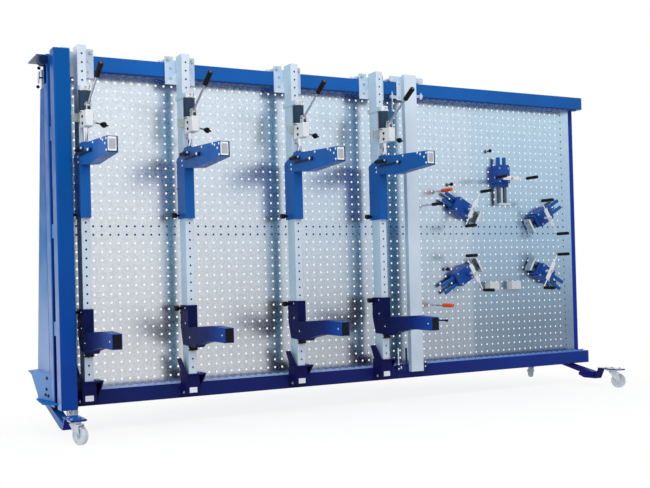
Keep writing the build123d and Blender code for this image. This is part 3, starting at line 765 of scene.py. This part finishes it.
for number in CLAMPS:
    dress(f"clamp_jaw_{number}", RACK)
    touch_up(f"clamp_jaw_{number}", jaw_face(number))
    dress(f"clamp_crank_{number}", WHITE_PLATE, crank_piece)
for number, unit_x in zip(UNITS, UNIT_X):
    dress(f"press_{number}_column", LIGHT, column_piece)
    side = SHADED_SIDE if number == 1 else LIGHT_SIDE_SHADE
    touch_up(f"press_{number}_column", post_face(unit_x - TUBE_HALF, side))
    dress(f"press_{number}_head", BLOCK)
    touch_up(f"press_{number}_head", head_face(unit_x))
    end_plate = framed_plate(f"arm_end_plate_{number}", unit_x)
    dress(f"press_{number}_upper_arm", BLUE, upper_arm_piece(end_plate))
    dress(f"press_{number}_lower_arm", LOWER_ARM_SHADED_BLUE, lower_arm_piece)
    touch_up(f"press_{number}_lower_arm", catch_face)
    dress(f"press_{number}_pump_lever", SATIN_ROD, pump_lever_piece)
    dress(f"press_{number}_release_lever", RACK, release_piece)
    dress(f"press_{number}_arm_lock", DARK_STEEL, arm_lock_piece)

for name in ("top_rail", "bottom_rail", "left_column", "left_foot", "right_foot", "clamp_housings"):
    soften(name, FRAME_EDGE)
for number in UNITS:
    for part in ("head", "upper_arm", "lower_arm", "arm_lock"):
        soften(f"press_{number}_{part}", PRESS_EDGE)
for number in CLAMPS:
    soften(f"clamp_jaw_{number}", CLAMP_EDGE)
    soften(f"clamp_crank_{number}", CLAMP_EDGE)


# Small fasteners, grips and trim

# Screw and bolt heads, as (radius, height) pairs in head radii
BUTTON_WASHER = [(1.45, 0), (1.45, 0.2), (1.0, 0.2)]
BUTTON_HEAD = [(1.0, 0.2), (0.98, 0.45), (0.80, 0.75), (0.50, 0.92), (0.50, 0.45)]
HEX_WASHER = [(1.5, 0), (1.5, 0.2), (1.0, 0.2)]
HEX_HEAD = [(1.0, 0.2), (1.0, 0.85), (0.86, 1.0)]
FINE_SCREW_R = 0.0045
SMALL_SCREW_R = 0.0050
SCREW_R = 0.0055
STUD_SCREW_R = 0.0060
PLUG_R = 0.0065
BOLT_R = 0.0075

# Grip sleeves: rounded ends in grip radii, and one rib as shares of its depth and length
GRIP_END = [(0.6, 0), (0.9, 0.05), (1.0, 0.25)]
FIRST_RIB = 0.6
RIB_DEPTH = 0.0006
RIB = ((0, 0.0), (0, 0.55), (1, 0.65), (1, 0.9))

SHARP_ANGLE = math.radians(32)
LOBE_DEPTH = 0.05


def scaled(profile, radius):
    return [(out * radius, height * radius) for out, height in profile]


def added(name, data):
    """A new object in the scene."""
    made = bpy.data.objects.new(name, data)
    bpy.context.scene.collection.objects.link(made)
    return made


class Shape:
    """Turned and straight forms gathered into one mesh."""

    def __init__(self):
        self.mesh = bmesh.new()

    def rings(self, origin, axis, profile, sides, lobes):
        """Circles of points round an axis, one for each (radius, height) pair, with optional lobes."""
        axis = Vector(axis).normalized()
        side = axis.orthogonal().normalized()
        other = axis.cross(side)
        made = []
        for radius, height in profile:
            centre = Vector(origin) + axis * height
            circle = []
            for step in range(sides):
                angle = math.tau * step / sides
                dent = LOBE_DEPTH * (1 + math.cos(lobes * angle)) if lobes else 0
                way = math.cos(angle) * side + math.sin(angle) * other
                circle.append(self.mesh.verts.new(centre + radius * (1 - dent) * way))
            made.append(circle)
        return made

    def skin(self, rings):
        """Faces between each circle of points and the next."""
        for low, high in zip(rings, rings[1:]):
            for step in range(len(low)):
                after = (step + 1) % len(low)
                self.mesh.faces.new((low[step], low[after], high[after], high[step]))

    def turned(self, origin, axis, profile, sides=20, lobes=0):
        """Closed form of revolution from (radius, height) pairs along an axis."""
        rings = self.rings(origin, axis, profile, sides, lobes)
        self.skin(rings)
        self.mesh.faces.new(list(reversed(rings[0])))
        self.mesh.faces.new(rings[-1])

    def ring(self, origin, axis, profile, sides):
        """Ring round an axis, open in the middle."""
        rings = self.rings(origin, axis, profile, sides, lobes=0)
        self.skin(rings + rings[:1])

    def prism(self, points, depth):
        """Straight form: a flat outline of points moved along a depth vector."""
        low = [self.mesh.verts.new(point) for point in points]
        high = [self.mesh.verts.new(Vector(point) + Vector(depth)) for point in points]
        self.mesh.faces.new(list(reversed(low)))
        self.mesh.faces.new(high)
        for step in range(len(points)):
            after = (step + 1) % len(points)
            self.mesh.faces.new((low[step], low[after], high[after], high[step]))

    def button_screw(self, place, axis, radius):
        """Domed screw head with a socket, on a thin washer."""
        self.turned(place, axis, scaled(BUTTON_WASHER, radius))
        self.turned(place, axis, scaled(BUTTON_HEAD, radius))

    def hex_bolt(self, place, axis, radius):
        """Hexagon head with a chamfered face, on a washer."""
        self.turned(place, axis, scaled(HEX_WASHER, radius))
        self.turned(place, axis, scaled(HEX_HEAD, radius), sides=6)

    def piece(self, name, material, body):
        """The finished mesh as a piece that rides on a body."""
        bmesh.ops.recalc_face_normals(self.mesh, faces=self.mesh.faces)
        mesh = bpy.data.meshes.new(name)
        self.mesh.to_mesh(mesh)
        self.mesh.free()
        mesh.materials.append(material)
        for polygon in mesh.polygons:
            polygon.use_smooth = True
        mesh.set_sharp_from_angle(angle=SHARP_ANGLE)
        made = added(name, mesh)
        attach(made, body)


def ribbed(length, radius, ribs):
    """Profile of a grip with rounded ends and shallow rings round it."""
    end = scaled(GRIP_END, radius)
    first = FIRST_RIB * radius
    step = (length - 2 * first) / ribs
    profile = list(end)
    for rib in range(ribs):
        low = first + rib * step
        profile += [(radius - sunk * RIB_DEPTH, low + share * step) for sunk, share in RIB]
    profile.append((radius, length - first))
    return profile + [(out, length - height) for out, height in reversed(end)]


def sleeve(name, body, start, end, radius, ribs):
    """Ribbed grip sleeve between two points."""
    way = Vector(end) - Vector(start)
    form = Shape()
    form.turned(start, way, ribbed(way.length, radius, ribs), sides=28)
    form.piece(name, GRIP, body)


def at(unit_x, place, side=1):
    """A place measured from the middle of a press unit, on its right or, with side -1, its left."""
    x, y, z = place
    return Vector((unit_x + side * x, y, z))


# Arms: screws as (y, z), places as (x, y, z) from the middle of a unit
ARM_HALF = 0.029
ARM_SCREWS = (
    (-0.555, 1.597),
    (-0.586, 1.586),
    (-0.626, 1.564),
    (-0.648, 1.586),
    (-0.648, 1.527),
    (-0.393, 1.600),
    (-0.166, 1.597),
    (-0.070, 1.560),
    (-0.073, 1.531),
)
LOW_ARM_SCREWS = ((-0.060, 0.690), (-0.060, 0.600), (-0.130, 0.520), (-0.620, 0.552))
LOW_ARM_NOSE = -0.475
LOW_ARM_NOSE_HALF = 0.0265
CATCH_PIN_PLACE = (0.0255, -0.101, 0.453)
CATCH_PIN = [(0.006, 0), (0.006, 0.004), (0.004, 0.0055)]
LOCK_STUD = (-0.048, -0.358, 1.565)
LOCK_SLEEVE = ((-0.043, -0.186, 1.594), (-0.043, -0.0865, 1.594))
LOCK_SLEEVE_R = 0.0104
LOCK_TIP = (-0.043, -0.199, 1.594)
KNOBS = {"upper_arm": (-0.0435, 0.005, 1.241), "lower_arm": (-0.0435, 0.005, 0.688)}
KNOB = [(0.0125, 0), (0.0158, 0.002), (0.0162, 0.010), (0.0162, 0.024), (0.0142, 0.0275), (0.0070, 0.0284)]


def press_arm_details(number, unit_x):
    """Screws, lock sleeve and knobs of the two arms of a unit."""
    screws = Shape()
    for side in BOTH_SIDES:
        for y, z in ARM_SCREWS:
            screws.button_screw(at(unit_x, (ARM_HALF, y, z), side), (side, 0, 0), SMALL_SCREW_R)
    screws.button_screw(at(unit_x, LOCK_STUD), LEFT, STUD_SCREW_R)
    screws.piece(f"arm_screws_{number}", SCREW, f"upper_arm_{number}")

    low_screws = Shape()
    for side in BOTH_SIDES:
        for y, z in LOW_ARM_SCREWS:
            half = LOW_ARM_NOSE_HALF if y < LOW_ARM_NOSE else ARM_HALF
            low_screws.button_screw(at(unit_x, (half, y, z), side), (side, 0, 0), FINE_SCREW_R)
        low_screws.turned(at(unit_x, CATCH_PIN_PLACE, side), (side, 0, 0), CATCH_PIN)
    low_screws.piece(f"lower_arm_screws_{number}", SILVER, f"lower_arm_{number}")

    start, end = (at(unit_x, place) for place in LOCK_SLEEVE)
    sleeve(f"lock_sleeve_{number}", f"arm_lock_{number}", start, end, LOCK_SLEEVE_R, ribs=14)
    tip = Shape()
    tip.button_screw(at(unit_x, LOCK_TIP), FORWARD, SCREW_R)
    tip.piece(f"lock_screw_{number}", SILVER, f"arm_lock_{number}")

    for arm, place in KNOBS.items():
        knob = Shape()
        knob.turned(at(unit_x, place), LEFT, KNOB, sides=36, lobes=6)
        knob.piece(f"arm_knob_{arm}_{number}", BLACK, f"{arm}_{number}")


# Pump head: places as (x, y, z) from the middle of a unit, ring edges as heights
CYLINDER_RINGS = ((1.8035, 1.8085), (1.9205, 1.9255))
CYLINDER_R = 0.0330
CYLINDER_RING_R = 0.0347
RAM_SEAL = [(0.0146, 1.7115), (0.0200, 1.7115), (0.0205, 1.7150), (0.0146, 1.7150)]
BLOCK_BOLT = (0.022, -0.212, 1.775)
BLOCK_PLUG = (0.022, -0.130, 1.735)
COLLAR_SCREW = (0, -0.162, 1.9395)
HINGE_CAP_X = 0.0178
HINGE_CAP = [(0.0085, 0), (0.0085, 0.002), (0.006, 0.003)]
RELEASE_CAP_Y = 0.0138
RELEASE_CAP = [(0.007, 0), (0.007, 0.0016), (0.005, 0.0024)]
LEVER_WAY = Vector((0, -0.852, 0.524)).normalized()
LEVER_SLEEVE_START = 0.2275
LEVER_SLEEVE_LENGTH = 0.101
LEVER_SLEEVE_R = 0.0156
LEVER_CAP = [(0.0135, -0.004), (0.0135, 0.0015), (0.0115, 0.0032), (0.006, 0.0038)]
RELEASE_BALL = (0.095, -0.170, 1.732)
BALL_STUD = [(0.0060, 0.0155), (0.0060, 0.0185), (0.0045, 0.0190), (0.0045, 0.0250), (0.0030, 0.0262)]
BALL_NECK = [(0.0048, -0.0200), (0.0085, -0.0200), (0.0095, -0.0160), (0.0048, -0.0150)]


def press_head_details(number, unit_x):
    """Rings, plugs and pins of the pump head, the sleeve on the pump lever and the release ball's stud."""
    ram = Vector((unit_x, RAM_Y, 0))
    rings = Shape()
    for low, high in CYLINDER_RINGS:
        edges = [(CYLINDER_R, low), (CYLINDER_RING_R, low), (CYLINDER_RING_R, high), (CYLINDER_R, high)]
        rings.ring(ram, UP, edges, sides=36)
    rings.ring(ram, UP, RAM_SEAL, sides=36)
    rings.piece(f"cylinder_rings_{number}", SILVER, f"head_{number}")

    pump_pivot = Vector(JOINTS[f"pump_lever_{number}_swing"]["pos_m"])
    release_pivot = Vector(JOINTS[f"release_{number}_tilt"]["pos_m"])
    plugs = Shape()
    plugs.hex_bolt(at(unit_x, BLOCK_BOLT), RIGHT, BOLT_R)
    plugs.hex_bolt(at(unit_x, BLOCK_PLUG), RIGHT, PLUG_R)
    plugs.button_screw(at(unit_x, COLLAR_SCREW), FORWARD, SMALL_SCREW_R)
    for side in BOTH_SIDES:
        plugs.turned(pump_pivot + Vector((side * HINGE_CAP_X, 0, 0)), (side, 0, 0), HINGE_CAP)
        plugs.turned(release_pivot + Vector((0, side * RELEASE_CAP_Y, 0)), (0, side, 0), RELEASE_CAP)
    plugs.piece(f"head_fittings_{number}", ZINC, f"head_{number}")

    start = pump_pivot + LEVER_WAY * LEVER_SLEEVE_START
    end = start + LEVER_WAY * LEVER_SLEEVE_LENGTH
    sleeve(f"lever_sleeve_{number}", f"pump_lever_{number}", start, end, LEVER_SLEEVE_R, ribs=13)
    cap = Shape()
    cap.turned(end, LEVER_WAY, LEVER_CAP, sides=28)
    cap.piece(f"lever_cap_{number}", GREY_CAP, f"pump_lever_{number}")

    ball = at(unit_x, RELEASE_BALL)
    stud = Shape()
    stud.turned(ball, ball - release_pivot, BALL_STUD)
    stud.ring(ball, ball - release_pivot, BALL_NECK, sides=24)
    stud.piece(f"release_stud_{number}", BLACK, f"release_lever_{number}")


# Carriage and bracket: places as (x, y, z) from the middle of a unit
ROLLER_NUT = (0.076, 0.002, 2.174)
CARRIAGE_SCREWS = ((0.060, 0.008, 2.060), (0.060, 0.008, 2.120))
BRACKET_SIDE_BOLT = (-0.040, -0.040, 0.192)
BRACKET_TOP_BOLT = (0.056, -0.040, 0.303)


def press_column_details(number, unit_x):
    """Nuts on the carriage rollers and bolts on the bottom bracket."""
    nuts = Shape()
    for side in BOTH_SIDES:
        nuts.hex_bolt(at(unit_x, ROLLER_NUT, side), FORWARD, BOLT_R)
        for place in CARRIAGE_SCREWS:
            nuts.button_screw(at(unit_x, place, side), FORWARD, SCREW_R)
    nuts.hex_bolt(at(unit_x, BRACKET_SIDE_BOLT), LEFT, BOLT_R)
    nuts.hex_bolt(at(unit_x, BRACKET_TOP_BOLT), UP, BOLT_R)
    nuts.piece(f"carriage_nuts_{number}", ZINC, f"press_{number}")


# Frame clamps: lengths along the racks, across them, and forward from the board
TEETH = 22
FIRST_TOOTH = 0.296
TOOTH_PITCH = 0.0094
TOOTH_DEPTH = 0.0026
TOOTH_WIDTH = 0.015
TOOTH_STEPS = (0.0018, 0.0036, 0.0054)
RACK_INSIDE = 0.0162
RACK_FRONT = 0.0455
HOUSING_FRONT = 0.070
HOUSING_SCREW_OUT = (-0.016, 0.078)
HOUSING_SCREW_ACROSS = 0.040
CRANK_FRONT = 0.162
CRANK_HALF = 0.140
CRANK_END_FRONT = 0.1395
CRANK_END = [(0.0075, -0.004), (0.0075, 0), (0.005, 0.002)]
CRANK_SLEEVE = (0.1525, 0.2665)
CRANK_SLEEVE_R = 0.0114


def clamp_details(number):
    """Rack teeth, housing screws, crank nut and grip sleeves of one frame clamp."""
    middle, outward, hub = clamp_lines(number)
    across = outward.cross(Vector(FORWARD))

    def before_board(point, front):
        return Vector((point.x, BOARD_Y - front, point.z))

    teeth = Shape()
    for side in BOTH_SIDES:
        for step in range(TEETH):
            along = outward * (FIRST_TOOTH + TOOTH_PITCH * step)
            foot = before_board(middle + along + across * (side * RACK_INSIDE), RACK_FRONT)
            tip = foot - across * (side * TOOTH_DEPTH)
            low, high, last = (outward * length for length in TOOTH_STEPS)
            teeth.prism([foot, tip + low, tip + high, foot + last], (0, TOOTH_WIDTH, 0))
    teeth.piece(f"rack_teeth_{number}", RACK, f"jaw_{number}")

    screws = Shape()
    for side in BOTH_SIDES:
        for out in HOUSING_SCREW_OUT:
            place = hub + across * (side * HOUSING_SCREW_ACROSS) + outward * out
            screws.button_screw(before_board(place, HOUSING_FRONT), FORWARD, FINE_SCREW_R)
    screws.piece(f"housing_screws_{number}", ZINC, "frame")

    ends = [hub + across * (side * CRANK_HALF) for side in BOTH_SIDES]
    nut = Shape()
    nut.hex_bolt(before_board(hub, CRANK_FRONT), FORWARD, BOLT_R)
    for end in ends:
        nut.turned(before_board(end, CRANK_END_FRONT), BACKWARD, CRANK_END)
    nut.piece(f"crank_nuts_{number}", ZINC, f"crank_{number}")
    for end, word in zip(ends, "ab"):
        start, stop = (before_board(end, front) for front in CRANK_SLEEVE)
        sleeve(f"crank_sleeve_{number}{word}", f"crank_{number}", start, stop, CRANK_SLEEVE_R, ribs=14)


# Casters: rings as (radius, height) pairs, out from the wheel's middle and up from the floor
BEARING_RING = [(0.0100, 0.0155), (0.0150, 0.0155), (0.0145, 0.0172), (0.0100, 0.0172)]
DUST_RING = [(0.0265, 0.1125), (0.0300, 0.1135), (0.0300, 0.1165), (0.0265, 0.1185)]


def caster_details(place):
    """Bearing rings on both faces of a wheel, and a dust ring round the swivel."""
    roll = JOINTS[f"roll_{place}"]
    centre, axle = Vector(roll["pos_m"]), Vector(roll["axis"])
    rings = Shape()
    for side in BOTH_SIDES:
        rings.ring(centre, axle * side, BEARING_RING, sides=28)
    rings.piece(f"wheel_rings_{place}", ZINC, f"wheel_{place}")
    x, y, _ = JOINTS[f"swivel_{place}"]["pos_m"]
    dust = Shape()
    dust.ring((x, y, 0), UP, DUST_RING, sides=32)
    dust.piece(f"swivel_ring_{place}", ZINC, f"fork_{place}")


# Stop post: places as (x, z) from its middle
STOP_PLATE_FRONT = 0.013
STOP_SCREWS = ((-0.068, 2.052), (-0.068, 2.146), (-0.110, 0.228), (0.068, 0.228))
STOP_ROLLERS = ((-0.125, 2.174), (0.101, 2.174))
SPINDLES = ((-0.130, 2.054), (0.102, 2.070), (-0.135, 0.237), (0.079, 0.240))
SPINDLE_Y = 0.004
SPINDLE_NUT_START = 0.0108
SPINDLE_NUT = [(0.0095, 0), (0.0095, 0.006), (0.008, 0.0072)]


def stop_details():
    """Plate screws, nuts on the screw spindles and roller bolts of the stop post."""
    screws = Shape()
    for x, z in STOP_SCREWS:
        screws.button_screw((STOP_X + x, STOP_PLATE_FRONT, z), FORWARD, SCREW_R)
    for x, z in SPINDLES:
        for side in BOTH_SIDES:
            place = (STOP_X + x, SPINDLE_Y, z + side * SPINDLE_NUT_START)
            screws.turned(place, (0, 0, side), SPINDLE_NUT, sides=6)
    for x, z in STOP_ROLLERS:
        screws.hex_bolt((STOP_X + x, STOP_PLATE_FRONT, z), FORWARD, BOLT_R)
    screws.piece("stop_screws", CHROME, "stop")


# Holes of the board that hold a pin, as (x, z)
PIN_HOLES = (
    (0.752, 1.433),
    (0.702, 0.633),
    (0.652, 1.333),
    (1.202, 1.733),
    (0.852, 1.483),
    (0.802, 0.883),
    (1.752, 1.383),
    (0.652, 0.533),
)
PIN_COLLAR = [(0.0110, 0), (0.0110, 0.003), (0.0085, 0.0042)]


def board_details():
    """Collars where the pins enter the board."""
    collars = Shape()
    for x, z in PIN_HOLES:
        collars.turned((x, BOARD_Y, z), FORWARD, PIN_COLLAR, sides=24)
    collars.piece("peg_collars", ZINC, "frame")


for number, unit_x in zip(UNITS, UNIT_X):
    press_arm_details(number, unit_x)
    press_head_details(number, unit_x)
    press_column_details(number, unit_x)
for number in CLAMPS:
    clamp_details(number)
for place in PLACES:
    caster_details(place)
stop_details()
board_details()


# Floor, light and camera

FLOOR_RADIUS = 9
FLOOR_STRETCH = (0.75, 1.3, 1)
FLOOR_FADE = (1.0, 2.1)
FLOOR_WHITENESS = 0.8
SKY_COLOUR = (0.90, 0.95, 1.0, 1)
SKY_STRENGTH = 0.55
SENSOR_MM = 36
PHOTO_WIDTH_PX = 650
FOCAL_PX = 960.34
PRINCIPAL_DROP_PX = 23.1
CAMERA_PLACE = (-3.17807, -5.44868, 0.86042)
CAMERA_RIGHT = (0.8794618, -0.4752564, -0.0260456)
CAMERA_UP = (0.0187446, -0.0200955, 0.9996223)
CAMERA_BACK = (-0.4756003, -0.8796178, -0.0087647)


def pale_floor():
    """Round pale floor that fades into the white surroundings and keeps a faint shadow."""
    shape = bmesh.new()
    bmesh.ops.create_circle(shape, cap_ends=True, segments=96, radius=FLOOR_RADIUS)
    mesh = bpy.data.meshes.new("floor")
    shape.to_mesh(mesh)
    shape.free()
    floor = added("floor", mesh)
    shade = Shader("pale_floor", grey(0.97), roughness=0.8, specular=0.1)
    length = shade.node("ShaderNodeVectorMath", operation="LENGTH")
    shade.link(shade.stretched(FLOOR_STRETCH), length.inputs[0])
    fade = shade.spread(length.outputs["Value"], 0.0, 1.0, *FLOOR_FADE)
    white = shade.node("ShaderNodeEmission")
    seen = shade.node("ShaderNodeMath", operation="MULTIPLY")
    shade.link(shade.node("ShaderNodeLightPath").outputs["Is Camera Ray"], seen.inputs[0])
    seen.inputs[1].default_value = FLOOR_WHITENESS
    lit = shade.node("ShaderNodeMixShader")
    shade.link(seen.outputs[0], lit.inputs["Fac"])
    shade.link(shade.surface.outputs["BSDF"], lit.inputs[1])
    shade.link(white.outputs["Emission"], lit.inputs[2])
    clear = shade.node("ShaderNodeBsdfTransparent")
    mix = shade.node("ShaderNodeMixShader")
    shade.link(fade, mix.inputs["Fac"])
    shade.link(lit.outputs["Shader"], mix.inputs[1])
    shade.link(clear.outputs["BSDF"], mix.inputs[2])
    shade.link(mix.outputs["Shader"], shade.tree.nodes["Material Output"].inputs["Surface"])
    mesh.materials.append(shade.material)


def white_world():
    """White to the camera, in reflections and through clear plates, a soft grey as light."""
    world = bpy.data.worlds.new("studio")
    bpy.context.scene.world = world
    world.use_nodes = True
    tree = world.node_tree
    soft = tree.nodes["Background"]
    soft.inputs["Color"].default_value = SKY_COLOUR
    soft.inputs["Strength"].default_value = SKY_STRENGTH
    white = tree.nodes.new("ShaderNodeBackground")
    white.inputs["Color"].default_value = (1, 1, 1, 1)
    white.inputs["Strength"].default_value = 1.0
    path = tree.nodes.new("ShaderNodeLightPath")
    seen = tree.nodes.new("ShaderNodeMath")
    seen.operation = "MAXIMUM"
    tree.links.new(path.outputs["Is Camera Ray"], seen.inputs[0])
    tree.links.new(path.outputs["Is Glossy Ray"], seen.inputs[1])
    through = tree.nodes.new("ShaderNodeMath")
    through.operation = "MAXIMUM"
    tree.links.new(seen.outputs["Value"], through.inputs[0])
    tree.links.new(path.outputs["Is Transmission Ray"], through.inputs[1])
    mix = tree.nodes.new("ShaderNodeMixShader")
    tree.links.new(through.outputs["Value"], mix.inputs["Fac"])
    tree.links.new(soft.outputs["Background"], mix.inputs[1])
    tree.links.new(white.outputs["Background"], mix.inputs[2])
    tree.links.new(mix.outputs["Shader"], tree.nodes["World Output"].inputs["Surface"])


def area_lamp(name, place, target, size, power):
    """Rectangular lamp at a place, turned to a target and left out of reflections."""
    lamp = bpy.data.lights.new(name, "AREA")
    lamp.shape = "RECTANGLE"
    lamp.size, lamp.size_y = size
    lamp.energy = power
    holder = added(name, lamp)
    holder.visible_glossy = False
    holder.location = place
    holder.rotation_euler = (Vector(target) - Vector(place)).to_track_quat("-Z", "Y").to_euler()


def photo_camera():
    """Camera fitted to the grid of holes in the photograph."""
    lens = bpy.data.cameras.new("camera")
    lens.sensor_width = SENSOR_MM
    lens.lens = FOCAL_PX * SENSOR_MM / PHOTO_WIDTH_PX
    lens.shift_y = PRINCIPAL_DROP_PX / PHOTO_WIDTH_PX
    camera = added("camera", lens)
    place = Matrix((CAMERA_RIGHT, CAMERA_UP, CAMERA_BACK)).transposed().to_4x4()
    place.translation = CAMERA_PLACE
    camera.matrix_world = place
    bpy.context.scene.camera = camera


pale_floor()
white_world()
area_lamp("overhead", place=(-0.5, -2.6, 4.6), target=(0, 0, 1.2), size=(5, 2.5), power=120)
area_lamp("front", place=(-3.5, -5.0, 3.4), target=(0, 0, 1.2), size=(3, 2.5), power=40)
area_lamp("left", place=(-6.0, -2.0, 2.6), target=(-0.6, 0, 1.2), size=(3, 3), power=105)
photo_camera()
bpy.context.scene.view_settings.view_transform = "Standard"
